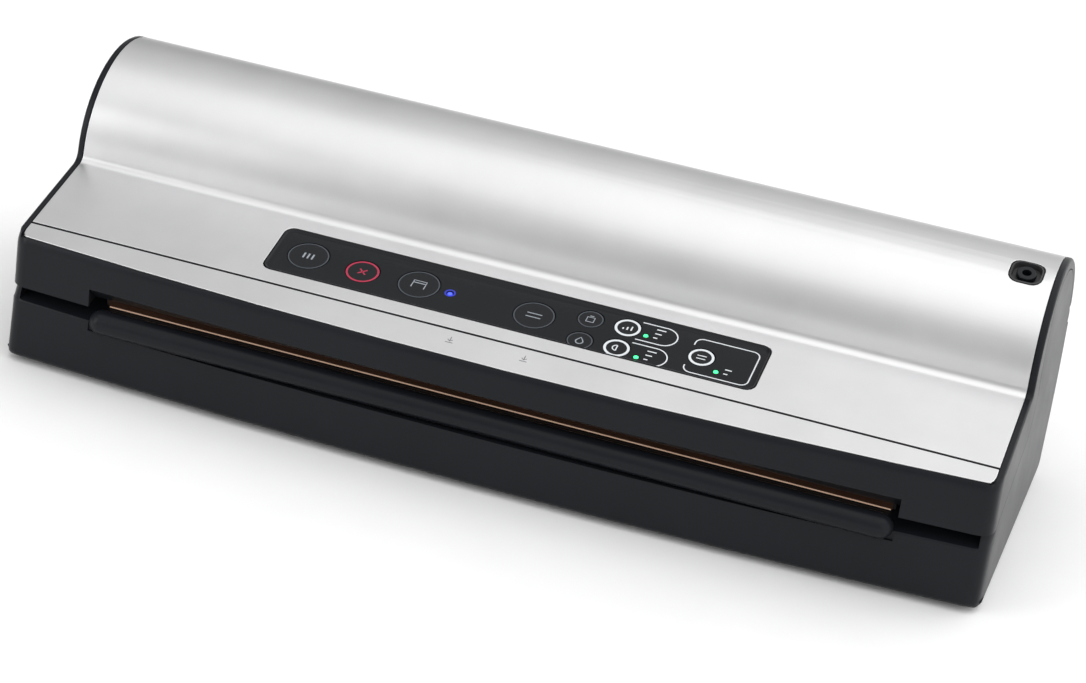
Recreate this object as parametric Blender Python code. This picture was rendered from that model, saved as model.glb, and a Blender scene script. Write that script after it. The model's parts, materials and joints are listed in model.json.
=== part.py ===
"""Vacuum sealer: base with pump and seal bar, hinged lid with steel cover and control panel.

Lengths below are in millimetres. Side coordinates are y back from the front face and z up from
the underside of the base; deck coordinates are v up the slope and w square to it.
"""

import math

import bmesh
import bpy
from mathutils import Matrix, Vector

MM = 0.001
GAP = 0.35

# Whole object
HALF_WIDTH = 197.5
HALF_WIDTH_AT = 49.0
SIDE_DRAFT = math.tan(math.radians(1.4))
CORNER = 6.0
FOOT_HEIGHT = 2.0
SLOPE = math.radians(12.2)

# Lid outline, seen from the side
LID_FRONT_BOTTOM = 30.7
LID_FRONT_TOP = 48.7
SLOPE_TOP = 52.4
RIM_DEPTH = 1.6
HUMP_CENTRE = Vector((90.5, 64.3))
HUMP_RADIUS = 37.7
HUMP_REACH = 39.8
CREASE_RADIUS = 4.0
REAR_END = 70.0
LID_SKIN = 3.0
LID_BAND = 4.0
LID_WALL = 3.2
RIM_WIDTH = 2.6
PLATE_THICK = 0.8
PLATE_RECESS = 1.1
STRIP_END = 7.8
PLATE_START = 8.9
NOTCH_FRONT = 38.3
NOTCH_BACK = 30.9

# Hinge
HINGE = Vector((124.0, 65.4))
BARREL = 4.1
WEB_RADIUS = 57.9
LUG_X = 177.0
LUG_LENGTH = 14.0
LUG_RADIUS = 5.4
PIN_RADIUS = 1.5
PIN_FROM = 160.0
PIN_TO = 194.0

# Base outline
BASE_FRONT_TOP = 25.2
SIDE_PARTING = 31.0
WEB_START = Vector((57.0, 43.1))
WEB_CORNER = Vector((63.5, 44.4))
WEB_TOP = Vector((66.6, 58.0))
REAR_TOP = 61.0
REAR_REACH = 130.0
REAR_TAPER = 14.0
BASE_WALL = 2.8
BASE_SIDE = 4.2
DECK_THICK = 2.4
BOTTOM_EDGE = 3.5
DECK_END = 58.0

# The front is bowed: it stands furthest forward in the middle, and leans out towards the bottom
END_REACH = 2.0
BOW = 6.6
LEAN = 2.0
BOW_STATIONS = tuple(range(-150, 151, 50))
CUTTER_STATIONS = tuple(range(-143, 158, 50))

# Tongue along the front lip
TONGUE_HALF = 162.0
TONGUE_RADIUS = 5.0
TONGUE_AT = Vector((-3.6, 25.2))
TONGUE_SHELF = 20.5
CAVITY_STEP = 17.5

# Vacuum chamber, in deck coordinates
BAR = (7.6, 18.6)
BAR_HALF = 160.0
GASKET_OUT = (168.0, 20.5, 53.0)
GASKET_IN = (162.5, 25.5, 48.2)
TRAY = (151.5, 28.0, 45.5)
TRAY_FLOOR = -9.0
COVER_BOTTOM = 6.2
COVER_TOP = 10.5

# Control panel, up the slope from its line above the front face
PANEL_X = -1.3
PANEL_V = 30.6
PANEL_SIZE = (198.8, 27.8)
PANEL_CORNER = 4.0
KEYS = (
    ("key_pulse", -86.6, 31.0, 8.5),
    ("key_cancel", -63.5, 29.8, 7.0),
    ("key_vacuum_seal", -40.4, 30.6, 8.6),
    ("key_manual_seal", 7.1, 29.5, 8.4),
    ("key_canister", 28.0, 35.6, 5.4),
    ("key_marinate", 28.2, 21.7, 5.4),
    ("key_vacuum_level", 42.8, 36.1, 5.5),
    ("key_food_type", 42.6, 22.8, 5.5),
    ("key_seal_mode", 74.2, 29.7, 5.4),
)
LAMPS = (
    ("lamp_ready", -27.4, 29.8),
    ("lamp_vacuum_level", 50.6, 34.1),
    ("lamp_food_type", 51.1, 20.3),
    ("lamp_seal_mode", 81.7, 23.4),
)
LAMP_RADIUS = 1.0
KEY_DEPTH = 0.8
BOARD_DEPTH = 7.6

# Accessory port, on the hump
PORT_X = 182.5
PORT_Y = 80.5
PORT_SIZE = 12.6
PORT_CORNER = 4.2

# Latch
LATCH_AXIS = Vector((22.0, 13.0))
LATCH_X = 180.0
LEVER_X = 162.0

# Pump, along X from its cylinder's middle
PUMP_AXIS = Vector((92.0, 35.0))
PUMP_X = -110.0
CRANK_THROW = 3.0
CRANK_RADIUS = 9.0
CRANK_FACE = (-9.0, -5.0)
MOTOR_RADIUS = 15.0
MOTOR_SPAN = (-62.0, -12.0)
CYLINDER = (12.0, 60.0, 80.0)
PISTON_RADIUS = 8.1
YOKE_HALF = 3.0

# Electrics
TRANSFORMER = ((56.0, 70.0, 8.0), (104.0, 106.0, 44.0))
WINDING = ((64.0, 64.0, 14.0), (96.0, 112.0, 38.0))
MAIN_BOARD = ((-60.0, 66.0, 10.0), (44.0, 108.0, 11.6))
VALVE = ((-92.0, 78.0, 40.0), (-72.0, 94.0, 56.0))
INLET = ((138.0, 110.0, 20.0), (162.0, 128.6, 36.0))
INLET_MOUTH = ((140.5, 114.0, 23.0), (159.5, 131.0, 33.0))
INLET_PINS = (145.7, 154.3)
SOLENOID = ((152.4, 32.0, 9.0), (171.6, 54.0, 22.0))
SWITCH_AT = (-176.0, 50.0)

FRONT_REACH = END_REACH + BOW + LEAN * (1 - BOTTOM_EDGE / BASE_FRONT_TOP)
FRONT = -(REAR_REACH - FRONT_REACH) / 2


# ---------------------------------------------------------------- frames


def frame_at(x, y, z, tilt=0.0):
    """A frame at a point in side coordinates, tipped about X."""
    place = Vector((x, y + FRONT, z + FOOT_HEIGHT)) * MM
    return Matrix.Translation(place) @ Matrix.Rotation(tilt, 4, "X")


SIDE = frame_at(0, 0, 0)
DECK = frame_at(0, 0, BASE_FRONT_TOP, SLOPE)
TOP = frame_at(0, 0, SLOPE_TOP, SLOPE)


def half_width(z):
    return HALF_WIDTH - (z - HALF_WIDTH_AT) * SIDE_DRAFT


def slope_point(height, v, w):
    """Side coordinates of a point v up a slope that starts at a height, and w above it."""
    along = Vector((math.cos(SLOPE), math.sin(SLOPE)))
    up = Vector((-math.sin(SLOPE), math.cos(SLOPE)))
    return Vector((0, height)) + along * v + up * w


def deck_point(v, w):
    return slope_point(BASE_FRONT_TOP, v, w)


def share(value, start, end):
    """How far a value lies from start to end, from 0 to 1."""
    return min(1.0, max(0.0, (value - start) / (end - start)))


def reach_at(x):
    return END_REACH + BOW * (1 - (x / HALF_WIDTH) ** 2)


def bowed_lid(x, y, z):
    """A point of the lid moved forward with the bow, down the slope near its top."""
    forward = reach_at(x) * share(y, STRIP_END, BASE_WALL)
    fall = forward * math.tan(SLOPE) * share(z, NOTCH_BACK, LID_FRONT_TOP)
    return (x, y - forward, z - fall)


def bowed_base(x, y, z):
    """A point of the base moved forward with the bow and the lean of its front."""
    out = reach_at(x) + LEAN * (1 - share(z, 0.0, BASE_FRONT_TOP))
    forward = out * share(y, STRIP_END, BASE_WALL)
    fall = forward * math.tan(SLOPE) * share(z, 0.0, BASE_FRONT_TOP)
    return (x, y - forward, z - fall)


def bowed_cavity(x, y, z):
    """As for the base, but only under the shelf that carries the tongue."""
    return bowed_base(x, y, z) if z < CAVITY_STEP else (x, y, z)


# ---------------------------------------------------------------- objects


def material(name, colour, roughness, metallic=0.0):
    made = bpy.data.materials.new(name)
    made.use_nodes = True
    shader = made.node_tree.nodes["Principled BSDF"]
    shader.inputs["Base Color"].default_value = (*colour, 1.0)
    shader.inputs["Roughness"].default_value = roughness
    shader.inputs["Metallic"].default_value = metallic
    made.diffuse_color = (*colour, 1.0)
    return made


def body(name, points, faces, frame, finish=None):
    """One object from points in millimetres in a frame, with its faces turned out."""
    mesh = bpy.data.meshes.new(name)
    mesh.from_pydata([Vector(p) * MM for p in points], [], faces)
    work = bmesh.new()
    work.from_mesh(mesh)
    bmesh.ops.recalc_face_normals(work, faces=work.faces)
    work.to_mesh(mesh)
    work.free()
    mesh.shade_smooth()
    mesh.set_sharp_from_angle(angle=math.radians(30))
    made = bpy.data.objects.new(name, mesh)
    bpy.context.scene.collection.objects.link(made)
    made.matrix_world = frame
    if finish:
        mesh.materials.append(finish)
    return made


def hide(tool):
    tool.hide_render = True
    tool.display_type = "WIRE"


def combine(target, tool, operation):
    hide(tool)
    step = target.modifiers.new(tool.name, "BOOLEAN")
    step.operation = operation
    step.solver = "EXACT"
    step.object = tool


def cut(target, *tools):
    for tool in tools:
        combine(target, tool, "DIFFERENCE")


def fuse(target, *tools):
    for tool in tools:
        combine(target, tool, "UNION")


def skin(loops, closed):
    """Quads between neighbouring loops of equal length, with end caps unless closed."""
    count = len(loops[0])
    points = [p for loop in loops for p in loop]
    faces = []
    pairs = len(loops) if closed else len(loops) - 1
    for i in range(pairs):
        low = i * count
        high = ((i + 1) % len(loops)) * count
        for j in range(count):
            k = (j + 1) % count
            faces.append((low + j, low + k, high + k, high + j))
    if not closed:
        faces.append(tuple(range(count)))
        faces.append(tuple(range(len(points) - count, len(points))))
    return points, faces


def unbowed(x, y, z):
    return (x, y, z)


def across(name, section, insets, finish=None, bend=unbowed, stations=()):
    """A body through one side outline for each inset from the two drafted ends.

    bend moves each point, and the stations are further outlines between the ends, for the bow.
    """
    loops = [[bend(i - half_width(z), y, z) for y, z in section(i)] for i in insets]
    loops += [[bend(x, y, z) for y, z in section(insets[-1])] for x in stations]
    loops += [[bend(half_width(z) - i, y, z) for y, z in section(i)] for i in reversed(insets)]
    return body(name, *skin(loops, False), SIDE, finish)


def prism(name, outline, x_from, x_to, frame=SIDE, finish=None):
    """A side outline carried straight along X."""
    loops = [[(x, y, z) for y, z in outline] for x in (x_from, x_to)]
    return body(name, *skin(loops, False), frame, finish)


def block(name, low, high, frame=SIDE, finish=None):
    outline = [(low[1], low[2]), (high[1], low[2]), (high[1], high[2]), (low[1], high[2])]
    return prism(name, outline, low[0], high[0], frame, finish)


def stacked(name, layers, frame, finish=None):
    """Flat outlines in X and Y, each at its own height, joined one to the next."""
    loops = [[(x, y, z) for x, y in outline] for outline, z in layers]
    return body(name, *skin(loops, False), frame, finish)


def ring(name, outer, inner, low, high, frame, finish=None):
    loops = [[(x, y, low) for x, y in outer], [(x, y, high) for x, y in outer]]
    loops += [[(x, y, high) for x, y in inner], [(x, y, low) for x, y in inner]]
    return body(name, *skin(loops, True), frame, finish)


def circle(x, y, radius, count=24):
    turns = [2 * math.pi * i / count for i in range(count)]
    return [(x + radius * math.cos(t), y + radius * math.sin(t)) for t in turns]


def rounded(x, y, width, height, radius, steps=4):
    """A rectangle with round corners about a centre."""
    points = []
    for quarter in range(4):
        turn = quarter * math.pi / 2
        side_x = 1 if quarter in (0, 3) else -1
        side_y = 1 if quarter in (0, 1) else -1
        centre_x = x + side_x * (width / 2 - radius)
        centre_y = y + side_y * (height / 2 - radius)
        for i in range(steps + 1):
            t = turn + i / steps * math.pi / 2
            points.append((centre_x + radius * math.cos(t), centre_y + radius * math.sin(t)))
    return points


def rod(name, x_from, x_to, at, radius, finish=None, count=16):
    """A cylinder along X at a point in side coordinates."""
    return prism(name, circle(at.x, at.y, radius, count), x_from, x_to, SIDE, finish)


def turned(name, profile, frame, finish=None, count=24):
    """A profile of (radius, height) pairs turned about Z, bottom to top, closed by flat ends."""
    layers = [(circle(0, 0, radius, count), height) for radius, height in profile]
    return stacked(name, layers, frame, finish)


# ---------------------------------------------------------------- outlines


def slope_height(y, inset=0.0):
    return SLOPE_TOP + y * math.tan(SLOPE) - inset / math.cos(SLOPE)


def crease_centre():
    """Centre of the fillet that joins the slope to the hump."""
    along = Vector((math.cos(SLOPE), math.sin(SLOPE)))
    up = Vector((-math.sin(SLOPE), math.cos(SLOPE)))
    start = Vector((0, SLOPE_TOP)) + up * CREASE_RADIUS
    away = start - HUMP_CENTRE
    dot = away.dot(along)
    reach = (HUMP_RADIUS + CREASE_RADIUS) ** 2
    return start + along * (-dot - math.sqrt(dot * dot - away.length_squared + reach))


def arc(centre, radius, start, end, steps):
    """Points on a circle from one angle to another, both ends included."""
    angles = [start + (end - start) * i / steps for i in range(steps + 1)]
    return [Vector((centre.x + radius * math.cos(a), centre.y + radius * math.sin(a))) for a in angles]


def crease_arc(inset, steps=5):
    centre = crease_centre()
    toward = HUMP_CENTRE - centre
    start = SLOPE - math.pi / 2
    end = math.atan2(toward.y, toward.x)
    return arc(centre, CREASE_RADIUS + inset, start, end, steps)


def hump_front(inset, steps=13):
    away = crease_centre() - HUMP_CENTRE
    start = math.atan2(away.y, away.x)
    return arc(HUMP_CENTRE, HUMP_RADIUS - inset, start, math.pi / 2, steps)


def hump_rear(inset, steps=12, end_height=REAR_END):
    """The rear of the hump is a quarter of an ellipse, a little longer than it is high."""
    last = math.asin((end_height - HUMP_CENTRE.y) / HUMP_RADIUS)
    points = []
    for i in range(1, steps + 1):
        a = math.pi / 2 + (last - math.pi / 2) * i / steps
        edge = HUMP_CENTRE + Vector((HUMP_REACH * math.cos(a), HUMP_RADIUS * math.sin(a)))
        normal = Vector((math.cos(a) / HUMP_REACH, math.sin(a) / HUMP_RADIUS)).normalized()
        points.append(edge - normal * inset)
    return points


def top_curve(inset, start, end_height=REAR_END):
    """Slope, crease and hump at an inset below the outer surface, front to back."""
    first = [Vector((start, slope_height(start, inset)))]
    return first + crease_arc(inset) + hump_front(inset)[1:] + hump_rear(inset, end_height=end_height)


def bezier(start, control, end, steps):
    times = [i / steps for i in range(steps + 1)]
    return [start * (1 - t) ** 2 + control * 2 * t * (1 - t) + end * t * t for t in times]


def web_arc():
    """Rear edge of the lid's side web: an arc about the hinge, from the web up to the skin."""
    low = WEB_TOP - HINGE
    start = math.atan2(low.y, low.x) % (2 * math.pi)
    a, b = math.pi / 2, math.pi
    for _ in range(40):
        middle = (a + b) / 2
        point = arc(HUMP_CENTRE, HUMP_RADIUS - LID_BAND, middle, middle, 1)[0]
        if (point - HINGE).length < WEB_RADIUS:
            a = middle
        else:
            b = middle
    meet = arc(HUMP_CENTRE, HUMP_RADIUS - LID_BAND, a, a, 1)[0] - HINGE
    end = math.atan2(meet.y, meet.x)
    points = arc(HINGE, WEB_RADIUS, start, end, 7)
    rest = [p for p in hump_front(LID_BAND) if (p - HINGE).length < WEB_RADIUS - 0.5]
    return points[1:] + rest + hump_rear(LID_BAND)


def parting():
    """Lower edge of the lid's sides, front to back, from the front wall to the rear end."""
    start = Vector((1.5, SIDE_PARTING + 1.5 * math.tan(SLOPE)))
    return [start] + bezier(WEB_START, WEB_CORNER, WEB_TOP, 7) + web_arc()


def offset(points, distance):
    """A polyline moved sideways, to the right of its own direction."""
    moved = []
    for i, p in enumerate(points):
        before = (p - points[i - 1]).normalized() if i else None
        after = (points[i + 1] - p).normalized() if i + 1 < len(points) else None
        one = before or after
        two = after or before
        right = Vector((one.y + two.y, -one.x - two.x)).normalized()
        square = Vector((one.y, -one.x))
        moved.append(p + right * (distance / right.dot(square)))
    return moved


def corner_setback(inset):
    """How far the front face falls back near a rounded vertical corner."""
    if inset >= CORNER:
        return 0.0
    return CORNER - math.sqrt(CORNER**2 - (CORNER - inset) ** 2)


# ---------------------------------------------------------------- lid


def lid_section(inset):
    back = corner_setback(inset)
    drop = 1.0 * max(0.0, 1.0 - inset) ** 2
    top = top_curve(drop, back + RIM_DEPTH)
    front = [(back, LID_FRONT_BOTTOM), (back, LID_FRONT_TOP - drop)]
    front += [(back + 0.3, 50.5 - drop), (back + 0.8, 51.7 - drop)]
    under = [p if p.x > 3 else Vector((back + 1.5, p.y)) for p in reversed(parting())]
    return front + [tuple(p) for p in top] + [tuple(p) for p in under]


def lid_cavity(_inset):
    """Hollow under the skin, from the front wall to behind the hump's front."""
    front = 2.6
    points = [p for p in top_curve(LID_SKIN, front) if p.x < 73.0]
    return [tuple(p) for p in points] + [(80.0, 80.0), (80.0, 20.0), (front, 20.0)]


def skin_band(depth, start, extend=0.0, end_height=REAR_END):
    """Outline of a layer under the outer surface, for the steel cover and its recess."""
    over = top_curve(-extend, start, end_height)
    under = top_curve(depth, start, end_height)
    return [tuple(p) for p in over] + [tuple(p) for p in reversed(under)]


def slope_band(depth, start, end, extend=0.0):
    points = [(start, slope_height(start, -extend)), (end, slope_height(end, -extend))]
    return points + [(end, slope_height(end, depth)), (start, slope_height(start, depth))]


def make_lid_lug(side):
    """Hinge knuckle that joins the lid's rear edge to the hinge pin."""
    x_from = side * (LUG_X - LUG_LENGTH / 2)
    x_to = side * (LUG_X + LUG_LENGTH / 2)
    outline = arc(HINGE, LUG_RADIUS, math.radians(82), math.radians(330), 16)
    outline += [Vector((128.9, 66.8)), Vector((128.5, 71.7)), Vector((126.9, 71.7))]
    return prism(f"lug_tool_{side}", [tuple(p) for p in outline], x_from, x_to)


def make_notch_tool():
    """Clears the lid's front lip above the tongue, with a roof that slopes down to the back."""
    end = TONGUE_HALF + 1.0
    loops = []
    for x in (-end, *CUTTER_STATIONS, end):
        front = -reach_at(x)
        outline = [(front - 6.0, 26.0), (front - 6.0, NOTCH_FRONT), (front, NOTCH_FRONT)]
        outline += [(4.0, NOTCH_BACK), (4.0, 26.0)]
        loops.append([(x, y, z) for y, z in outline])
    return body("notch_tool", *skin(loops, False), SIDE)


def make_lid_frame(finish):
    insets = (0.0, 0.35, 1.0, 2.2, 3.8, CORNER)
    frame = across("lid_frame", lid_section, insets, finish, bowed_lid, BOW_STATIONS)
    cut(frame, across("lid_cavity_tool", lid_cavity, (LID_WALL,)))
    plate_recess = skin_band(PLATE_RECESS, PLATE_START - 0.3, 3.0, REAR_END - 1.5)
    cut(frame, across("plate_recess_tool", lambda i: plate_recess, (RIM_WIDTH,)))
    strip_recess = slope_band(PLATE_RECESS, RIM_DEPTH - 0.2, STRIP_END + 0.3, extend=3.0)
    bow = (None, bowed_lid, CUTTER_STATIONS)
    cut(frame, across("strip_recess_tool", lambda i: strip_recess, (RIM_WIDTH,), *bow))
    window = rounded(PANEL_X, PANEL_V, PANEL_SIZE[0] + 0.7, PANEL_SIZE[1] + 0.7, PANEL_CORNER)
    cut(frame, stacked("frame_window_tool", [(window, -6.0), (window, 3.0)], TOP))
    cut(frame, make_notch_tool())
    cut(frame, make_port_hole("frame_port_tool"))
    for side in (-1, 1):
        fuse(frame, make_lid_lug(side))
        x_mid = side * LUG_X
        cut(frame, rod(f"lug_bore_tool_{side}", x_mid - 10, x_mid + 10, HINGE, PIN_RADIUS + GAP))
    return frame


def make_top_plate(finish):
    outline = skin_band(PLATE_THICK, PLATE_START)
    plate = across("top_plate", lambda i: outline, (RIM_WIDTH + 0.3,), finish)
    window = rounded(PANEL_X, PANEL_V, PANEL_SIZE[0] + 0.7, PANEL_SIZE[1] + 0.7, PANEL_CORNER)
    cut(plate, stacked("plate_window_tool", [(window, -6.0), (window, 3.0)], TOP))
    cut(plate, make_port_hole("plate_port_tool"))
    return plate


def strip_section(inset):
    """The front strip's outline, set back at its two rounded front corners."""
    radius = 3.0
    near = inset - RIM_WIDTH - 0.3
    back = radius - math.sqrt(radius**2 - max(0.0, radius - near) ** 2)
    return slope_band(PLATE_THICK, RIM_DEPTH + 0.1 + back, STRIP_END)


def make_front_strip(finish):
    first = RIM_WIDTH + 0.3
    insets = (first, first + 0.4, first + 1.3, first + 3.0)
    return across("front_strip", strip_section, insets, finish, bowed_lid, CUTTER_STATIONS)


def port_frame():
    """Frame on the hump's surface, its Z square to the surface."""
    lean = math.asin((HUMP_CENTRE.x - PORT_Y) / HUMP_RADIUS)
    z = HUMP_CENTRE.y + HUMP_RADIUS * math.cos(lean)
    return frame_at(PORT_X, PORT_Y, z, lean)


def make_port_hole(name):
    hole = rounded(0, 0, PORT_SIZE + 0.7, PORT_SIZE + 0.7, PORT_CORNER)
    return stacked(name, [(hole, -6.0), (hole, 3.0)], port_frame())


def make_port(plastic, steel):
    """Cup let into the hump, and the hose nozzle that stands in it."""
    outer = rounded(0, 0, PORT_SIZE, PORT_SIZE, PORT_CORNER)
    lip = rounded(0, 0, PORT_SIZE - 1.4, PORT_SIZE - 1.4, PORT_CORNER - 0.7)
    floor = rounded(0, 0, PORT_SIZE - 2.0, PORT_SIZE - 2.0, PORT_CORNER - 1.0)
    layers = [(outer, -3.7), (outer, -0.55), (lip, -0.45), (floor, -2.7)]
    socket = stacked("port_socket", layers, port_frame(), plastic)
    stem_hole = circle(0, 0, 2.9)
    cut(socket, stacked("port_stem_tool", [(stem_hole, -5.0), (stem_hole, 0.0)], port_frame()))
    profile = [(2.5, -3.7), (2.5, -2.4), (3.9, -2.4), (3.9, -1.0), (3.6, -0.6)]
    nozzle = turned("port_nozzle", profile, port_frame(), steel)
    bore = circle(0, 0, 1.8)
    cut(nozzle, stacked("port_bore_tool", [(bore, -5.0), (bore, 1.0)], port_frame()))
    return [socket, nozzle]


def make_inner_cover(finish):
    """Underside of the lid: chamber roof, gasket and strip grooves, and the two strikers."""
    width = half_width(36.0) - LID_WALL - 0.6
    outline = []
    for y, w in ((3.0, COVER_BOTTOM), (54.4, COVER_BOTTOM), (54.4, COVER_TOP), (3.0, COVER_TOP)):
        outline.append((y, BASE_FRONT_TOP + y * math.tan(SLOPE) + w / math.cos(SLOPE)))
    cover = prism("lid_inner_cover", outline, -width, width, SIDE, finish)
    groove = COVER_BOTTOM + 1.5
    low = COVER_BOTTOM - 3.0
    outer = rounded(0, sum(GASKET_OUT[1:]) / 2, 2 * GASKET_OUT[0] + 0.7, 33.2, 5.0)
    inner = rounded(0, sum(GASKET_IN[1:]) / 2, 2 * GASKET_IN[0] - 0.7, 22.0, 3.0)
    cut(cover, ring("gasket_groove_tool", outer, inner, low, groove, DECK))
    chamber = rounded(0, 36.8, 2 * TRAY[0], 17.0, 3.0)
    cut(cover, stacked("chamber_tool", [(chamber, low), (chamber, COVER_BOTTOM + 2.3)], DECK))
    slot = rounded(0, sum(BAR) / 2, 2 * BAR_HALF + 0.7, 9.7, 1.5, steps=1)
    cut(cover, stacked("press_groove_tool", [(slot, low), (slot, 8.9)], DECK))
    for side in (-1, 1):
        leg = [(36.0, 27.0), (39.0, 27.0), (39.0, 43.0), (36.0, 43.0), (36.0, 30.0)]
        leg += [(30.5, 30.0), (30.5, 27.0)]
        x_from = side * (LATCH_X - 3.0)
        x_to = side * (LATCH_X + 3.0)
        fuse(cover, prism(f"striker_tool_{side}", leg, x_from, x_to))
    peg = circle(*SWITCH_AT, 3.0, 12)
    fuse(cover, stacked("switch_peg_tool", [(peg, 4.4), (peg, COVER_BOTTOM + 1.0)], DECK))
    return cover


def make_gasket(name, low, high, finish):
    outer = rounded(0, sum(GASKET_OUT[1:]) / 2, 2 * GASKET_OUT[0], 32.5, 5.0)
    inner = rounded(0, sum(GASKET_IN[1:]) / 2, 2 * GASKET_IN[0], 22.7, 3.0)
    return ring(name, outer, inner, low, high, DECK, finish)


def make_press_strip(finish):
    outline = [(8.7, 5.2), (17.5, 5.2), (17.5, 8.5), (8.7, 8.5)]
    return prism("press_strip", outline, 1.5 - BAR_HALF, BAR_HALF - 1.5, DECK, finish)


def make_fascia(finish):
    """Control panel: a shallow tray with a bevelled rim and a hole for each key and lamp."""
    def outline(shrink):
        size = (PANEL_SIZE[0] - 2 * shrink, PANEL_SIZE[1] - 2 * shrink)
        return rounded(PANEL_X, PANEL_V, *size, PANEL_CORNER - shrink)

    layers = [(outline(0.0), -2.6), (outline(0.0), -0.1), (outline(0.3), -0.05), (outline(1.5), -KEY_DEPTH)]
    fascia = stacked("control_fascia", layers, TOP, finish)
    holes = [(name, x, v, radius) for name, x, v, radius in KEYS]
    holes += [(name, x, v, LAMP_RADIUS + 0.3) for name, x, v in LAMPS]
    for name, x, v, radius in holes:
        hole = circle(x, v, radius, 24 if radius > 3 else 12)
        cut(fascia, stacked(f"{name}_hole_tool", [(hole, -6.0), (hole, 3.0)], TOP))
    return fascia


def make_key(name, x, v, radius, finish):
    """A disc that lies flush in the panel, on a stem that reaches to its switch."""
    origin = slope_point(SLOPE_TOP, v, -KEY_DEPTH)
    frame = frame_at(x, origin.x, origin.y, SLOPE)
    profile = [(radius / 2, -4.6), (radius / 2, -1.6), (radius - 0.3, -1.6), (radius - 0.3, 0.0)]
    return turned(name, profile, frame, finish)


def make_lamp(name, x, v, finish):
    origin = slope_point(SLOPE_TOP, v, -KEY_DEPTH)
    profile = [(LAMP_RADIUS + 0.4, -4.9), (LAMP_RADIUS + 0.4, -2.2), (LAMP_RADIUS, -2.2)]
    profile += [(LAMP_RADIUS, -0.1), (LAMP_RADIUS - 0.3, 0.05)]
    return turned(name, profile, frame_at(x, origin.x, origin.y, SLOPE), finish, count=12)


def make_control_board(finish):
    low = -BOARD_DEPTH
    board = block("control_board", (-94.0, 18.5, low), (92.0, 43.0, low + 1.6), TOP, finish)
    for i, x in enumerate((-20.0, 60.0)):
        chip = block(f"chip_tool_{i}", (x, 26.0, low - 2.0), (x + 12.0, 36.0, low + 0.5), TOP)
        fuse(board, chip)
    return board


# ---------------------------------------------------------------- base


def rear_wall(inset=0.0, low=6.0, steps=8):
    """Rear face from its top edge down, curving in towards the bottom."""
    points = []
    for i in range(steps + 1):
        z = REAR_TOP + (low - REAR_TOP) * i / steps
        points.append(Vector((REAR_REACH - REAR_TAPER * (1 - z / REAR_TOP) ** 2.2 - inset, z)))
    return points


def base_section(inset):
    back = corner_setback(inset)
    lift = 2.5 * max(0.0, 1.0 - inset / 2.5) ** 2
    corner = Vector((BOTTOM_EDGE, BOTTOM_EDGE))
    foot = arc(corner, BOTTOM_EDGE, 1.5 * math.pi, math.pi, 4)
    squeeze = 1 - lift / BOTTOM_EDGE
    foot = [Vector((p.x + back * (1 - p.x / BOTTOM_EDGE), lift + p.y * squeeze)) for p in foot]
    front = [Vector((back, BASE_FRONT_TOP - 0.6)), Vector((back + 0.5, BASE_FRONT_TOP))]
    wall = [Vector((back + 2.6, SIDE_PARTING + 2.6 * math.tan(SLOPE) - GAP))]
    top = offset(parting(), GAP)[1:]
    barrel = arc(HINGE, BARREL, math.radians(62), math.radians(-48), 6)
    ledge = [Vector((127.2, REAR_TOP))]
    sill = bezier(Vector((118.6, 5.5)), Vector((116.6, 0)), Vector((111.5, 0)), 3)
    sill = [Vector((p.x, lift + p.y * (1 - lift / BOTTOM_EDGE))) for p in sill]
    return [tuple(p) for p in foot + front + wall + top + barrel + ledge + rear_wall()[:-1] + sill]


def base_cavity(_inset):
    """Room inside the base, open below: under the deck, and up inside the hump."""
    under = deck_point(0, -DECK_THICK)
    deck_low = [Vector((y, under.y + (y - under.x) * math.tan(SLOPE))) for y in (BASE_WALL, 61.0)]
    web = offset(parting(), GAP + BASE_WALL)
    web = [p for p in web if p.x > 69.0 and (p - HINGE).length > BARREL + 3.5]
    barrel = arc(HINGE, BARREL + 0.2, math.radians(125), math.radians(262), 6)
    rear = rear_wall(BASE_WALL)[1:]
    front = arc(Vector((BOTTOM_EDGE, BOTTOM_EDGE)), BOTTOM_EDGE - BASE_WALL, 1.5 * math.pi, math.pi, 3)
    step = [Vector((BASE_WALL, CAVITY_STEP - 0.5)), Vector((BASE_WALL, CAVITY_STEP + 0.5))]
    door = [Vector((108.5, 3.2)), Vector((108.5, -1.0)), Vector((8.5, -1.0)), Vector((8.5, 2.8))]
    return [tuple(p) for p in front + step + deck_low + web + barrel + rear + door]


def deck_cut(_inset):
    """Open space above the deck, between the base's two side walls."""
    low = deck_point(-16.0, 0.0)
    high = deck_point(DECK_END / math.cos(SLOPE), 0.0)
    return [tuple(low), tuple(high), (high.x, 62.0), (low.x, 62.0)]


def make_tongue():
    """Rounded lip along the front, with ball ends."""
    steps = 6
    loops = []
    for i in range(-steps, steps + 1):
        turn = i / steps * math.pi / 2
        radius = max(0.02, TONGUE_RADIUS * math.cos(turn))
        side = TONGUE_HALF - TONGUE_RADIUS
        for place in ([-side, side] if i == 0 else [side if i > 0 else -side]):
            x = place + TONGUE_RADIUS * math.sin(turn)
            loops.append([(x, y, z) for y, z in circle(TONGUE_AT.x, TONGUE_AT.y, radius, 24)])
    return body("tongue_tool", *skin(loops, False), SIDE)


def make_post(name, x, y):
    """Screw post that stands by the side wall."""
    outline = circle(x, y, 4.6, 16)
    return stacked(name, [(outline, 3.0), (outline, 21.0)], SIDE)


SCREWS = (("front_left", -190.4, 16.0), ("front_right", 190.4, 16.0),
          ("rear_left", -190.4, 101.0), ("rear_right", 190.4, 101.0))


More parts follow.
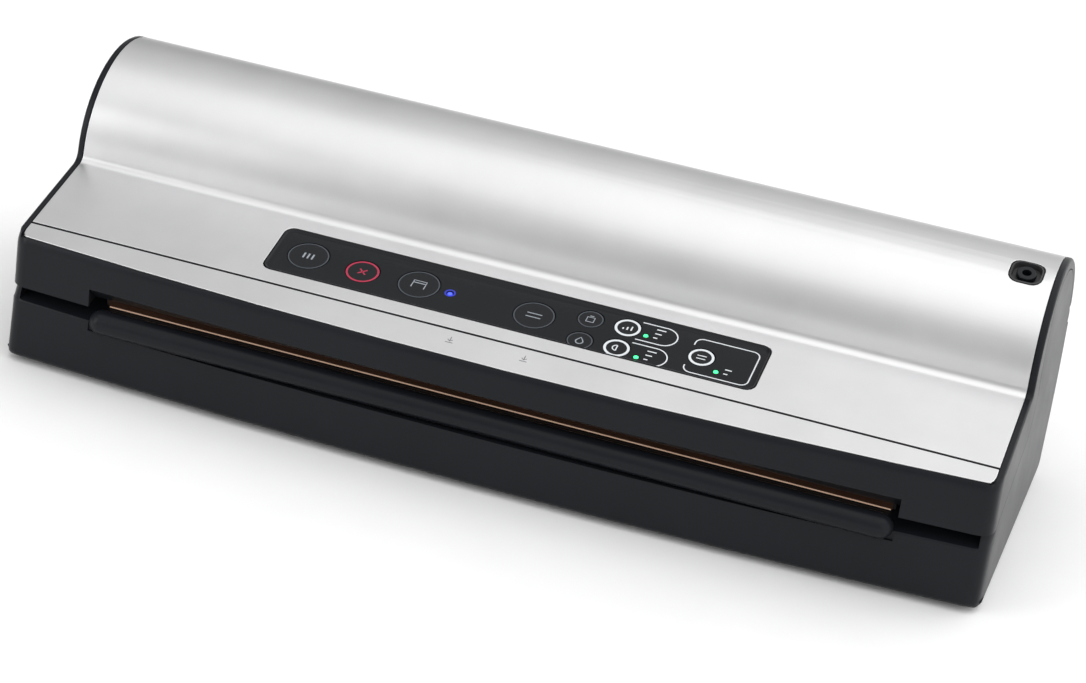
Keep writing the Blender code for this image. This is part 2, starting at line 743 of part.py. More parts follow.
def make_base_shell(finish):
    insets = (0.0, 0.7, 1.6, 2.5, 3.7, CORNER)
    shell = across("base_shell", base_section, insets, finish, bowed_base, BOW_STATIONS)
    bow = (None, bowed_cavity, CUTTER_STATIONS)
    cut(shell, across("base_cavity_tool", base_cavity, (BASE_SIDE,), *bow))
    cut(shell, across("deck_cut_tool", deck_cut, (BASE_SIDE + 0.2,)))
    shelf_end = TONGUE_HALF + 0.6
    low = (-shelf_end, -20.0, TONGUE_SHELF)
    cut(shell, block("tongue_shelf_tool", low, (shelf_end, TONGUE_AT.x, 40.0)))
    fuse(shell, make_tongue())
    tray_hole = rounded(0, 36.75, 2 * TRAY[0] + 0.8, TRAY[2] - TRAY[1] + 0.8, 2.5)
    cut(shell, stacked("tray_hole_tool", [(tray_hole, -4.0), (tray_hole, 2.0)], DECK))
    for side in (-1, 1):
        x = side * LATCH_X
        cut(shell, block(f"latch_slot_tool_{side}", (x - 4.0, 17.0, -4.0), (x + 4.0, 45.0, 2.0), DECK))
        room = LUG_LENGTH / 2 + 0.5
        lug_x = side * LUG_X
        cut(shell, rod(f"lug_room_tool_{side}", lug_x - room, lug_x + room, HINGE, 6.2, count=24))
        bore_from = side * (PIN_FROM - 1.0)
        bore_to = side * (PIN_TO + 1.0)
        cut(shell, rod(f"pin_bore_tool_{side}", bore_from, bore_to, HINGE, PIN_RADIUS + GAP))
    switch_hole = circle(*SWITCH_AT, 1.9, 12)
    cut(shell, stacked("switch_hole_tool", [(switch_hole, -4.0), (switch_hole, 2.0)], DECK))
    for name, x, y in SCREWS:
        fuse(shell, make_post(f"post_{name}_tool", x, y))
        hole = circle(x, y, 1.8, 12)
        cut(shell, stacked(f"post_{name}_hole_tool", [(hole, 1.0), (hole, 17.0)], SIDE))
    cut(shell, block("inlet_hole_tool", (137.6, 110.0, 19.6), (162.4, 140.0, 36.4)))
    for i in range(7):
        x = -130.0 + 9.0 * i
        cut(shell, block(f"vent_tool_{i}", (x, 112.0, 24.0), (x + 3.0, 140.0, 44.0)))
    port_hole = circle(0, 0, 3.2, 16)
    cut(shell, stacked("port_duct_tool", [(port_hole, -12.0), (port_hole, 3.0)], port_frame()))
    return shell


def make_bottom_cover(finish):
    half = half_width(0.0) - BASE_SIDE - 0.4
    outline = rounded(0, 58.5, 2 * half, 98.8, 2.0, steps=2)
    cover = stacked("bottom_cover", [(outline, 0.3), (outline, 2.5)], SIDE, finish)
    for name, x, y in SCREWS:
        head = circle(x, y, 3.5, 12)
        hole = circle(x, y, 1.9, 12)
        layers = [(head, -1.0), (head, 1.7), (hole, 1.8), (hole, 3.0)]
        cut(cover, stacked(f"cover_{name}_hole_tool", layers, SIDE))
    for i in range(8):
        x = 44.0 + 7.0 * i
        cut(cover, block(f"cover_vent_tool_{i}", (x, 74.0, -1.0), (x + 2.5, 96.0, 3.5)))
    return cover


def make_screw(name, x, y, finish):
    profile = [(3.1, 0.4), (3.1, 1.2), (1.4, 1.5), (1.4, 14.0)]
    return turned(name, profile, frame_at(x, y, 0.0), finish, count=12)


def make_foot(name, x, y, finish):
    profile = [(8.0, -FOOT_HEIGHT), (8.8, -FOOT_HEIGHT + 0.6), (9.0, 0.0)]
    return turned(name, profile, frame_at(x, y, 0.0), finish)


def make_seal_bar(plastic, wire, tape):
    """Bar with its two heating wires and the tape that covers them."""
    holder = block("seal_bar", (-BAR_HALF, BAR[0], 0.35), (BAR_HALF, BAR[1], 3.6), DECK, plastic)
    made = [holder]
    for name, v in (("heating_wire_front", 11.0), ("heating_wire_rear", 14.6)):
        low = (4 - BAR_HALF, v - 1.2, 3.9)
        high = (BAR_HALF - 4, v + 1.2, 4.15)
        made.append(block(name, low, high, DECK, wire))
    outline = [(6.9, 0.5), (7.15, 0.5), (7.15, 4.45), (19.2, 4.45), (19.2, 4.75), (6.9, 4.75)]
    made.append(prism("seal_tape", outline, -BAR_HALF + 1, BAR_HALF - 1, DECK, tape))
    return made


def make_tray(finish):
    """Drip tray let into the deck, with a lip round it and a hole for the suction hose."""
    half, near, far = TRAY
    centre = (near + far) / 2
    wide = rounded(0, centre, 2 * half + 6.0, far - near + 3.4, 3.5)
    body_out = rounded(0, centre, 2 * half, far - near, 2.5)
    body_in = rounded(0, centre, 2 * half - 3.0, far - near - 3.0, 1.5)
    layers = [(body_out, TRAY_FLOOR - 1.4), (body_out, 0.35), (wide, 0.35), (wide, 1.3)]
    layers += [(body_in, 1.3), (body_in, TRAY_FLOOR)]
    tray = stacked("drip_tray", layers, DECK, finish)
    hole = circle(-120.0, centre, 2.4, 12)
    cut(tray, stacked("tray_hole_tool_2", [(hole, -13.0), (hole, -5.0)], DECK))
    return tray


def make_latch(steel, plastic):
    """Cross shaft with a hook at each end, and the spring that turns it back."""
    shaft = rod("latch_shaft", -185.0, 185.0, LATCH_AXIS, 2.5, steel)
    lever = [(20.5, 15.0), (23.5, 15.0), (23.5, 19.4), (20.5, 19.4)]
    fuse(shaft, prism("latch_lever_tool", lever, LEVER_X - 3.0, LEVER_X + 3.0))
    made = [shaft]
    for name, side in (("latch_hook_left", -1), ("latch_hook_right", 1)):
        arm = [(18.0, 10.0), (22.0, 8.2), (26.0, 10.0), (25.2, 28.0), (23.2, 31.9)]
        arm += [(27.2, 32.4), (26.6, 33.8), (22.5, 34.6), (18.6, 33.4)]
        x_from = side * (LATCH_X - 2.5)
        x_to = side * (LATCH_X + 2.5)
        hook = prism(name, arm, x_from, x_to, SIDE, plastic)
        cut(hook, rod(f"{name}_bore_tool", x_from - side, x_to + side, LATCH_AXIS, 2.85))
        made.append(hook)
    return made


def make_wire(name, points, radius, finish):
    """A round wire or hose along a path in side coordinates."""
    curve = bpy.data.curves.new(name, "CURVE")
    curve.dimensions = "3D"
    curve.bevel_depth = radius * MM
    curve.bevel_resolution = 1
    curve.use_fill_caps = True
    line = curve.splines.new("POLY")
    line.points.add(len(points) - 1)
    for i, p in enumerate(points):
        line.points[i].co = (*(Vector(p) * MM), 1.0)
    made = bpy.data.objects.new(name, curve)
    bpy.context.scene.collection.objects.link(made)
    made.matrix_world = SIDE
    curve.materials.append(finish)
    return made


def make_latch_spring(finish):
    turns = 5
    steps = 12
    points = []
    for i in range(turns * steps + 1):
        turn = 2 * math.pi * i / steps
        y = LATCH_AXIS.x + 3.9 * math.cos(turn)
        z = LATCH_AXIS.y + 3.9 * math.sin(turn)
        points.append((100.0 + 2.0 * i / steps, y, z))
    points.append((110.0, LATCH_AXIS.x + 3.9, 5.0))
    return make_wire("latch_spring", points, 0.5, finish)


def make_solenoid(metal, steel):
    """Latch solenoid, and its plunger with a claw that pulls the latch shaft's lever."""
    coil = block("latch_solenoid", *SOLENOID, SIDE, metal)
    frame = frame_at(LEVER_X, 25.9, 16.4, -math.pi / 2)
    room = circle(0, 0, 3.4, 16)
    cut(coil, stacked("solenoid_bore_tool", [(room, 5.0), (room, 26.5)], frame))
    plunger = turned("solenoid_plunger", [(3.0, 0.0), (3.0, 18.0)], frame, steel, count=16)
    claw = [(18.8, 18.3), (20.0, 18.3), (20.0, 20.2), (26.3, 20.2), (26.3, 15.0), (28.5, 15.0)]
    claw += [(28.5, 21.4), (18.8, 21.4)]
    fuse(plunger, prism("claw_tool", claw, LEVER_X - 2.0, LEVER_X + 2.0))
    return [coil, plunger]


def make_lid_switch(plastic, steel):
    low = (-181.0, 46.0, -15.0)
    high = (-171.0, 54.0, -3.0)
    case = block("lid_switch", low, high, DECK, plastic)
    bore = circle(*SWITCH_AT, 1.8, 12)
    cut(case, stacked("switch_bore_tool", [(bore, -11.0), (bore, 0.0)], DECK))
    origin = deck_point(SWITCH_AT[1], 4.0)
    frame = frame_at(SWITCH_AT[0], origin.x, origin.y, SLOPE)
    profile = [(1.4, -12.0), (1.4, -0.4), (1.0, 0.0)]
    return [case, turned("lid_switch_plunger", profile, frame, steel, 12)]


def make_pump(metal, plastic, steel):
    """Motor, crank, piston and cylinder of the vacuum pump."""
    start, end = (PUMP_X + x for x in MOTOR_SPAN)
    motor = rod("pump_motor", start, end, PUMP_AXIS, MOTOR_RADIUS, metal, count=24)
    cut(motor, rod("motor_bore_tool", PUMP_X - 20.0, PUMP_X - 10.0, PUMP_AXIS, 2.4))
    start, end = (PUMP_X + x for x in CRANK_FACE)
    crank = rod("pump_crank", start, end, PUMP_AXIS, CRANK_RADIUS, steel, count=24)
    fuse(crank, rod("crank_shaft_tool", PUMP_X - 18.0, PUMP_X - 8.0, PUMP_AXIS, 2.0))
    pin_at = PUMP_AXIS + Vector((0.0, CRANK_THROW))
    fuse(crank, rod("crank_pin_tool", PUMP_X - 6.0, PUMP_X + 4.0, pin_at, 1.5, count=12))
    radius, low, high = CYLINDER
    upright = frame_at(PUMP_X, PUMP_AXIS.x, 0.0)
    head = turned("pump_cylinder", [(radius, low), (radius, high)], upright, plastic)
    bore = circle(PUMP_X, PUMP_AXIS.x, PISTON_RADIUS + 0.4)
    cut(head, stacked("cylinder_bore_tool", [(bore, 55.0), (bore, 77.0)], SIDE))
    profile = [(PISTON_RADIUS, 62.0), (PISTON_RADIUS, 71.0)]
    piston = turned("pump_piston", profile, upright, steel)
    left, right = PUMP_X - YOKE_HALF, PUMP_X + YOKE_HALF
    fuse(piston, block("yoke_tool", (left, 83.0, 23.5), (right, 101.0, 48.0)))
    fuse(piston, block("piston_rod_tool", (left, 89.0, 47.0), (right, 95.0, 63.0)))
    window = ((left - 2.0, 86.6, 27.4), (right + 2.0, 97.4, 42.6))
    cut(piston, block("yoke_window_tool", *window))
    return [motor, crank, head, piston]


def make_electrics(plastic, board, core):
    """Transformer, main board, vent valve and the mains inlet at the back."""
    coil = block("transformer", *TRANSFORMER, SIDE, core)
    fuse(coil, block("winding_tool", *WINDING))
    main = block("main_board", *MAIN_BOARD, SIDE, board)
    parts = ((-50, 72, 14, 12), (-20, 80, 20, 16), (10, 72, 12, 22), (28, 88, 8, 14))
    for i, (x, y, size, height) in enumerate(parts):
        tool = block(f"component_tool_{i}", (x, y, 11.0), (x + size, y + size * 0.8, 11.0 + height))
        fuse(main, tool)
    valve = block("vent_valve", *VALVE, SIDE, plastic)
    inlet = block("mains_inlet", *INLET, SIDE, plastic)
    cut(inlet, block("inlet_socket_tool", *INLET_MOUTH))
    for i, x in enumerate(INLET_PINS):
        pin = circle(0, 0, 1.2, 10)
        pin_frame = frame_at(x, 113.0, 28.0, -math.pi / 2)
        fuse(inlet, stacked(f"inlet_pin_tool_{i}", [(pin, 0.0), (pin, 11.0)], pin_frame))
    return [coil, main, valve, inlet]


def make_hose(finish):
    """Suction hose from under the drip tray to the vent valve."""
    start = deck_point((TRAY[1] + TRAY[2]) / 2, TRAY_FLOOR - 1.9)
    a = Vector((-120.0, start.x, start.y))
    points = [a, a + Vector((1, 2, -6)), Vector((-114, 48, 9)), Vector((-104, 58, 9)),
              Vector((-92, 63, 14)), Vector((-84, 67, 23)), Vector((-82, 71, 34)), Vector((-82, 72.5, 42)),
              Vector((-82, 74.5, 47)), Vector((-82, 77.4, 48))]
    return make_wire("suction_hose", points, 2.2, finish)


# ---------------------------------------------------------------- assembly


def clear_scene():
    for old in list(bpy.data.objects):
        bpy.data.objects.remove(old, do_unlink=True)


def pivot(name, frame, children, parent=None):
    """An empty on a joint's axis, with the pieces that turn or slide about it."""
    made = bpy.data.objects.new(name, None)
    bpy.context.scene.collection.objects.link(made)
    made.empty_display_size = 0.02
    made.matrix_world = frame
    bpy.context.view_layer.update()
    for child in children:
        child.parent = made
        child.matrix_parent_inverse = frame.inverted()
    return made


def make_finishes():
    return {
        "black": material("black_plastic", (0.018, 0.019, 0.022), 0.42),
        "inner": material("inner_plastic", (0.03, 0.03, 0.032), 0.55),
        "steel": material("brushed_steel", (0.62, 0.62, 0.63), 0.33, 1.0),
        "strip": material("strip_steel", (0.66, 0.66, 0.67), 0.30, 1.0),
        "panel": material("panel_gloss", (0.012, 0.014, 0.018), 0.12),
        "key": material("key_gloss", (0.014, 0.016, 0.021), 0.15),
        "green": material("green_lamp", (0.05, 0.75, 0.25), 0.2),
        "blue": material("blue_lamp", (0.05, 0.08, 0.95), 0.2),
        "rubber": material("rubber", (0.02, 0.02, 0.02), 0.8),
        "foam": material("gasket_foam", (0.045, 0.045, 0.05), 0.85),
        "silicone": material("silicone", (0.22, 0.22, 0.23), 0.6),
        "tape": material("seal_tape", (0.36, 0.19, 0.09), 0.35),
        "wire": material("heating_wire", (0.62, 0.56, 0.5), 0.3, 1.0),
        "zinc": material("zinc_steel", (0.5, 0.5, 0.5), 0.35, 1.0),
        "board": material("circuit_board", (0.03, 0.16, 0.07), 0.5),
        "core": material("transformer_core", (0.16, 0.12, 0.08), 0.5, 0.4),
        "motor": material("motor_can", (0.42, 0.42, 0.43), 0.35, 1.0),
    }


def make_lid(f):
    lid = [make_lid_frame(f["black"]), make_top_plate(f["steel"]), make_front_strip(f["strip"])]
    lid += [make_inner_cover(f["inner"]), make_gasket("upper_gasket", 4.0, 7.4, f["foam"])]
    lid += [make_press_strip(f["silicone"]), make_fascia(f["panel"]), make_control_board(f["board"])]
    lid += [make_lamp(n, x, v, f["blue" if n == "lamp_ready" else "green"]) for n, x, v in LAMPS]
    lid += make_port(f["inner"], f["key"])
    lid += [make_key(name, x, v, radius, f["key"]) for name, x, v, radius in KEYS]
    pivot("lid_hinge", frame_at(0, HINGE.x, HINGE.y), lid)


def make_base(f):
    make_base_shell(f["black"])
    make_bottom_cover(f["inner"])
    for name, x, y in SCREWS:
        make_screw(f"screw_{name}", x, y, f["zinc"])
        make_foot(f"foot_{name}", math.copysign(166.0, x), 24.0 if y < 50 else 97.0, f["rubber"])
    make_seal_bar(f["inner"], f["wire"], f["tape"])
    make_gasket("lower_gasket", 0.35, 3.6, f["foam"])
    make_tray(f["inner"])
    for name, side in (("hinge_pin_left", -1), ("hinge_pin_right", 1)):
        rod(name, side * PIN_FROM, side * PIN_TO, HINGE, PIN_RADIUS, f["zinc"])
    pivot("latch_axis", frame_at(0, LATCH_AXIS.x, LATCH_AXIS.y), make_latch(f["zinc"], f["inner"]))
    make_latch_spring(f["zinc"])
    make_solenoid(f["motor"], f["zinc"])
    make_lid_switch(f["inner"], f["zinc"])
    motor, crank, head, piston = make_pump(f["motor"], f["inner"], f["zinc"])
    pivot("crank_axis", frame_at(PUMP_X, PUMP_AXIS.x, PUMP_AXIS.y), [crank])
    make_electrics(f["inner"], f["board"], f["core"])
    make_hose(f["rubber"])


clear_scene()
finishes = make_finishes()
make_base(finishes)
make_lid(finishes)
bpy.context.view_layer.update()
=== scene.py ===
"""The looks of the vacuum sealer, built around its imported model.

Printed shapes are drawn in millimetres and turned into metres in solid(). Panel coordinates are x,
v up the lid's slope and w square to it, and start on the sealer's front line; deck coordinates are
the same, but start lower, at the deck under the lid. Lights, the camera and finishes are in metres.
"""

import json
import math

import bmesh
import bpy
from mathutils import Matrix, Vector


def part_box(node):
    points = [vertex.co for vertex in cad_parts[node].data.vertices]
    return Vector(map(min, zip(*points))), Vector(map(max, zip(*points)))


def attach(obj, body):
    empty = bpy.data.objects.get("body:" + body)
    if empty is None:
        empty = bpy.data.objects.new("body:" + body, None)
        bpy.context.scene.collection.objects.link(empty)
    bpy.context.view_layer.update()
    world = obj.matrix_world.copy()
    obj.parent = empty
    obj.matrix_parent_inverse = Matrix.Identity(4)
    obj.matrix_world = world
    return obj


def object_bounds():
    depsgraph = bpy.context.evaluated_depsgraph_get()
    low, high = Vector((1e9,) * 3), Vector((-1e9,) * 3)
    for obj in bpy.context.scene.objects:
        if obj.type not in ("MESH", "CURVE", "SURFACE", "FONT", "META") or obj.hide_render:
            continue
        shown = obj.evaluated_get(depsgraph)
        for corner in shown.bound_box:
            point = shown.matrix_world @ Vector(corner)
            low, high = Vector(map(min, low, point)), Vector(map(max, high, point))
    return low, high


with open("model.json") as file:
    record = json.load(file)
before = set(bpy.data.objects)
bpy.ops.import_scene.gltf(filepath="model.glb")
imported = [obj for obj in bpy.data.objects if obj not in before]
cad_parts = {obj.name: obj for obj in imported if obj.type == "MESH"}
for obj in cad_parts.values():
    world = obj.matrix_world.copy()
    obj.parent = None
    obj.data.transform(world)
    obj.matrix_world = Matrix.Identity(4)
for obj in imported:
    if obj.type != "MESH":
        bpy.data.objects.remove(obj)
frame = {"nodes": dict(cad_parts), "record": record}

MM = 0.001
CAD_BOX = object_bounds()
NODES = frame["nodes"]

# The sloping panel leans the way its keys are pressed, and is placed by the hinge behind it
RECORD_JOINTS = {joint["name"]: joint for joint in frame["record"]["behaviour"]["joints"]}
UP = -Vector(RECORD_JOINTS["key_cancel_press"]["axis"]).normalized()
SLOPE = math.atan2(-UP.y, UP.z)
HINGE = Vector(RECORD_JOINTS["lid_hinge"]["pos_m"])

# In millimetres: how far the hinge is behind that line and above the underside, and the frames' heights
HINGE_BACK = 124.0
HINGE_UP = 65.4
PANEL_UP = 52.4
DECK_UP = 25.2


def sloping(height):
    """Frame on the middle line of the sealer, at a height above its underside, tipped up the slope."""
    place = Vector((0.0, HINGE.y - HINGE_BACK * MM, HINGE.z + (height - HINGE_UP) * MM))
    return Matrix.Translation(place) @ Matrix.Rotation(SLOPE, 4, "X")


PANEL = sloping(PANEL_UP)
DECK = sloping(DECK_UP)


# ---------------------------------------------------------------- camera and light


CAMERA_LENS = 107.9
CAMERA_SENSOR = 36.0
CAMERA_RIGHT = (0.94326, 0.31165, 0.11462)
CAMERA_UP = (-0.23966, 0.40001, 0.88462)
CAMERA_ACROSS = 0.29905
CAMERA_AHEAD = 1.04772
CAMERA_HEIGHT = 0.61443


def make_camera():
    data = bpy.data.cameras.new("camera")
    data.lens = CAMERA_LENS
    data.sensor_width = CAMERA_SENSOR
    camera = bpy.data.objects.new("camera", data)
    bpy.context.scene.collection.objects.link(camera)
    right = Vector(CAMERA_RIGHT)
    back = right.cross(Vector(CAMERA_UP)).normalized()
    up = back.cross(right).normalized()
    turn = Matrix((right.normalized(), up, back)).transposed().to_4x4()
    place = (CAMERA_ACROSS, HINGE.y - HINGE_BACK * MM - CAMERA_AHEAD, CAMERA_HEIGHT)
    camera.matrix_world = Matrix.Translation(place) @ turn
    bpy.context.scene.camera = camera


def aim(obj, target):
    obj.rotation_mode = "QUATERNION"
    obj.rotation_quaternion = (Vector(target) - obj.location).to_track_quat("-Z", "Y")


def make_softbox(name, place, target, size, power):
    data = bpy.data.lights.new(name, "AREA")
    data.shape = "RECTANGLE"
    data.size, data.size_y = size
    data.energy = power
    light = bpy.data.objects.new(name, data)
    bpy.context.scene.collection.objects.link(light)
    light.location = place
    aim(light, target)


BRIGHT_SIDE = (1.05, 0.08, 0.70)
WORLD_FACING = (-0.2, 0.9)
WORLD_STRENGTH = (0.36, 1.28)


def make_world():
    """Soft surroundings, brightest above and to the right, darker low and to the left."""
    world = bpy.data.worlds.new("studio")
    world.use_nodes = True
    bpy.context.scene.world = world
    nodes, links = world.node_tree.nodes, world.node_tree.links
    place = nodes.new("ShaderNodeTexCoord")
    facing = nodes.new("ShaderNodeVectorMath")
    facing.operation = "DOT_PRODUCT"
    facing.inputs[1].default_value = BRIGHT_SIDE
    links.new(place.outputs["Generated"], facing.inputs[0])
    level = nodes.new("ShaderNodeMapRange")
    level.inputs["From Min"].default_value, level.inputs["From Max"].default_value = WORLD_FACING
    level.inputs["To Min"].default_value, level.inputs["To Max"].default_value = WORLD_STRENGTH
    links.new(facing.outputs["Value"], level.inputs["Value"])
    nodes["Background"].inputs["Color"].default_value = (1.0, 1.0, 1.0, 1.0)
    links.new(level.outputs["Result"], nodes["Background"].inputs["Strength"])


FLOOR_REACH = 4.0


def make_floor():
    mesh = bpy.data.meshes.new("floor")
    corners = [(x * FLOOR_REACH, y * FLOOR_REACH, 0) for x, y in ((-1, -1), (1, -1), (1, 1), (-1, 1))]
    mesh.from_pydata(corners, [], [(0, 1, 2, 3)])
    floor = bpy.data.objects.new("floor", mesh)
    bpy.context.scene.collection.objects.link(floor)
    mesh.materials.append(make_finish("floor_white", (0.93, 0.93, 0.93), 0.7, mottle=0.01))
    floor.location.z = CAD_BOX[0].z


def make_studio():
    make_camera()
    make_world()
    make_softbox("overhead", (0.15, -0.1, 1.6), (0.05, 0.0, 0.05), (3.0, 1.9), 9.5)
    make_softbox("left_front", (-1.15, -1.0, 0.55), (-0.1, 0.0, 0.03), (0.7, 0.9), 6.0)
    make_softbox("right_back", (1.3, 1.0, 0.5), (0.1, 0.05, 0.05), (1.1, 0.7), 4.0)
    make_floor()


# ---------------------------------------------------------------- finishes


CLOUD_SCALE = 28.0
CLOUD_DETAIL = 5.0
CLOUD_ROUGHNESS = 0.6
CLOUD_LOW = 0.3
CLOUD_HIGH = 0.7
GRAIN_DETAIL = 3.0
GLOSS_MOTTLE = 1.5


def make_finish(name, colour, roughness, metallic=0.0, grain=None, depth=0.0, mottle=0.05,
                glow=0.0, specular=0.5):
    """Principled surface with fine grain in the bump and soft clouds in colour and roughness.

    grain is the grain's frequency along X, Y and Z per metre, and depth is its height in metres.
    mottle is how far the clouds lighten and darken the colour, as a share of it.
    """
    made = bpy.data.materials.new(name)
    made.use_nodes = True
    nodes, links = made.node_tree.nodes, made.node_tree.links
    shader = nodes["Principled BSDF"]
    shader.inputs["Metallic"].default_value = metallic
    shader.inputs["Specular IOR Level"].default_value = specular
    if glow:
        shader.inputs["Emission Color"].default_value = (*colour, 1.0)
        shader.inputs["Emission Strength"].default_value = glow
    place = nodes.new("ShaderNodeTexCoord")

    clouds = nodes.new("ShaderNodeTexNoise")
    clouds.inputs["Scale"].default_value = CLOUD_SCALE
    clouds.inputs["Detail"].default_value = CLOUD_DETAIL
    clouds.inputs["Roughness"].default_value = CLOUD_ROUGHNESS
    links.new(place.outputs["Object"], clouds.inputs["Vector"])

    tint = nodes.new("ShaderNodeValToRGB")
    tint.color_ramp.elements[0].position = CLOUD_LOW
    tint.color_ramp.elements[1].position = CLOUD_HIGH
    tint.color_ramp.elements[0].color = (*[c * (1 - mottle) for c in colour], 1.0)
    tint.color_ramp.elements[1].color = (*[min(1.0, c * (1 + mottle)) for c in colour], 1.0)
    links.new(clouds.outputs["Fac"], tint.inputs["Fac"])
    links.new(tint.outputs["Color"], shader.inputs["Base Color"])

    gloss = nodes.new("ShaderNodeMapRange")
    gloss.inputs["From Min"].default_value = CLOUD_LOW
    gloss.inputs["From Max"].default_value = CLOUD_HIGH
    gloss.inputs["To Min"].default_value = roughness * (1 - GLOSS_MOTTLE * mottle)
    gloss.inputs["To Max"].default_value = min(1.0, roughness * (1 + GLOSS_MOTTLE * mottle))
    links.new(clouds.outputs["Fac"], gloss.inputs["Value"])
    links.new(gloss.outputs["Result"], shader.inputs["Roughness"])

    if grain:
        stretch = nodes.new("ShaderNodeMapping")
        stretch.inputs["Scale"].default_value = grain
        fine = nodes.new("ShaderNodeTexNoise")
        fine.inputs["Scale"].default_value = 1.0
        fine.inputs["Detail"].default_value = GRAIN_DETAIL
        bump = nodes.new("ShaderNodeBump")
        bump.inputs["Strength"].default_value = 1.0
        bump.inputs["Distance"].default_value = depth
        links.new(place.outputs["Object"], stretch.inputs["Vector"])
        links.new(stretch.outputs["Vector"], fine.inputs["Vector"])
        links.new(fine.outputs["Fac"], bump.inputs["Height"])
        links.new(bump.outputs["Normal"], shader.inputs["Normal"])
    return made


BRUSHED = (14.0, 1800.0, 1800.0)
MOULDED = (2600.0, 2600.0, 2600.0)

FINISHES = {
    "black": dict(colour=(0.009, 0.010, 0.0125), roughness=0.34, grain=MOULDED, depth=0.000008,
                  mottle=0.08, specular=0.16),
    "inner": dict(colour=(0.028, 0.028, 0.030), roughness=0.58, grain=MOULDED, depth=0.00003, mottle=0.10),
    "steel": dict(colour=(0.70, 0.70, 0.705), roughness=0.36, metallic=1.0, grain=BRUSHED, depth=0.000012,
                  mottle=0.03),
    "panel": dict(colour=(0.006, 0.007, 0.009), roughness=0.16, mottle=0.10, specular=0.18),
    "key": dict(colour=(0.007, 0.008, 0.010), roughness=0.20, mottle=0.10, specular=0.2),
    "white_ink": dict(colour=(0.72, 0.75, 0.78), roughness=0.45, mottle=0.04),
    "faint_ink": dict(colour=(0.045, 0.055, 0.068), roughness=0.35, mottle=0.06),
    "red_ink": dict(colour=(0.42, 0.012, 0.055), roughness=0.40, mottle=0.05),
    "soft_ink": dict(colour=(0.30, 0.33, 0.37), roughness=0.45, mottle=0.05),
    "dark_ink": dict(colour=(0.16, 0.16, 0.17), roughness=0.5, mottle=0.05),
    "blue_halo": dict(colour=(0.01, 0.02, 0.35), roughness=0.3, mottle=0.05, glow=0.25),
    "green_lamp": dict(colour=(0.05, 0.85, 0.28), roughness=0.2, mottle=0.02, glow=1.2),
    "blue_lamp": dict(colour=(0.03, 0.05, 1.0), roughness=0.2, mottle=0.02, glow=3.0),
    "rubber": dict(colour=(0.022, 0.022, 0.022), roughness=0.82, grain=MOULDED, depth=0.00003, mottle=0.12),
    "foam": dict(colour=(0.045, 0.045, 0.05), roughness=0.9, grain=(1500.0,) * 3, depth=0.0002, mottle=0.15),
    "silicone": dict(colour=(0.22, 0.22, 0.23), roughness=0.55, mottle=0.06),
    "tape": dict(colour=(0.065, 0.030, 0.018), roughness=0.38, grain=(2200.0, 2200.0, 2200.0), depth=0.00005,
                 mottle=0.15),
    # painted highlight: a glowing copper colour that stands in for light caught on the tape's edge
    "painted_glint": dict(colour=(0.85, 0.58, 0.42), roughness=0.35, mottle=0.05, glow=0.3),
    "copper": dict(colour=(0.80, 0.50, 0.30), roughness=0.3, metallic=1.0, mottle=0.05),
    "zinc": dict(colour=(0.55, 0.55, 0.56), roughness=0.33, metallic=1.0, grain=MOULDED, depth=0.00001,
                 mottle=0.08),
    "motor": dict(colour=(0.42, 0.42, 0.44), roughness=0.36, metallic=1.0, mottle=0.08),
    "board": dict(colour=(0.02, 0.14, 0.06), roughness=0.42, grain=(500.0,) * 3, depth=0.00004, mottle=0.2),
    "core": dict(colour=(0.16, 0.11, 0.06), roughness=0.5, metallic=0.3, grain=(4.0, 1600.0, 4.0),
                 depth=0.0001, mottle=0.15),
}

NODE_FINISH = {
    "black": ("base_shell", "lid_frame"),
    "steel": ("top_plate", "front_strip"),
    "panel": ("control_fascia",),
    "key": ("port_nozzle",),
    "rubber": ("suction_hose",),
    "foam": ("upper_gasket", "lower_gasket"),
    "silicone": ("press_strip",),
    "tape": ("seal_tape",),
    "copper": ("heating_wire_front", "heating_wire_rear"),
    "zinc": ("latch_shaft", "latch_spring", "solenoid_plunger", "lid_switch_plunger", "pump_crank",
             "pump_piston", "hinge_pin_left", "hinge_pin_right"),
    "motor": ("pump_motor", "latch_solenoid"),
    "board": ("main_board", "control_board"),
    "core": ("transformer",),
    "green_lamp": ("lamp_vacuum_level", "lamp_food_type", "lamp_seal_mode"),
    "blue_lamp": ("lamp_ready",),
}


def finish_of(node):
    for finish, names in NODE_FINISH.items():
        if node in names:
            return finish
    for start, finish in (("foot_", "rubber"), ("screw_", "zinc"), ("key_", "key")):
        if node.startswith(start):
            return finish
    return "inner"


WELD_REACH = 0.00001
FLAT_ANGLE = math.radians(0.5)
EDGE_WIDTH = 0.00025
EDGE_ANGLE = math.radians(40)


def soften(obj):
    """Rounds an engineered solid's hard edges, and shades its round faces smooth."""
    weld = obj.modifiers.new("weld", "WELD")
    weld.merge_threshold = WELD_REACH
    flat = obj.modifiers.new("dissolve", "DECIMATE")
    flat.decimate_type = "DISSOLVE"
    flat.angle_limit = FLAT_ANGLE
    bevel = obj.modifiers.new("bevel", "BEVEL")
    bevel.width = EDGE_WIDTH
    bevel.segments = 2
    bevel.limit_method = "ANGLE"
    bevel.angle_limit = EDGE_ANGLE
    bevel.use_clamp_overlap = True
    normals = obj.modifiers.new("normals", "WEIGHTED_NORMAL")
    normals.weight = 100
    normals.keep_sharp = True


MATERIALS = {name: make_finish(name, **look) for name, look in FINISHES.items()}


def dress_nodes():
    for name, obj in NODES.items():
        material = MATERIALS[finish_of(name)]
        obj.data.materials.clear()
        obj.data.materials.append(material)
        for face in obj.data.polygons:
            face.use_smooth = True
        soften(obj)


# ---------------------------------------------------------------- printed graphics and small details


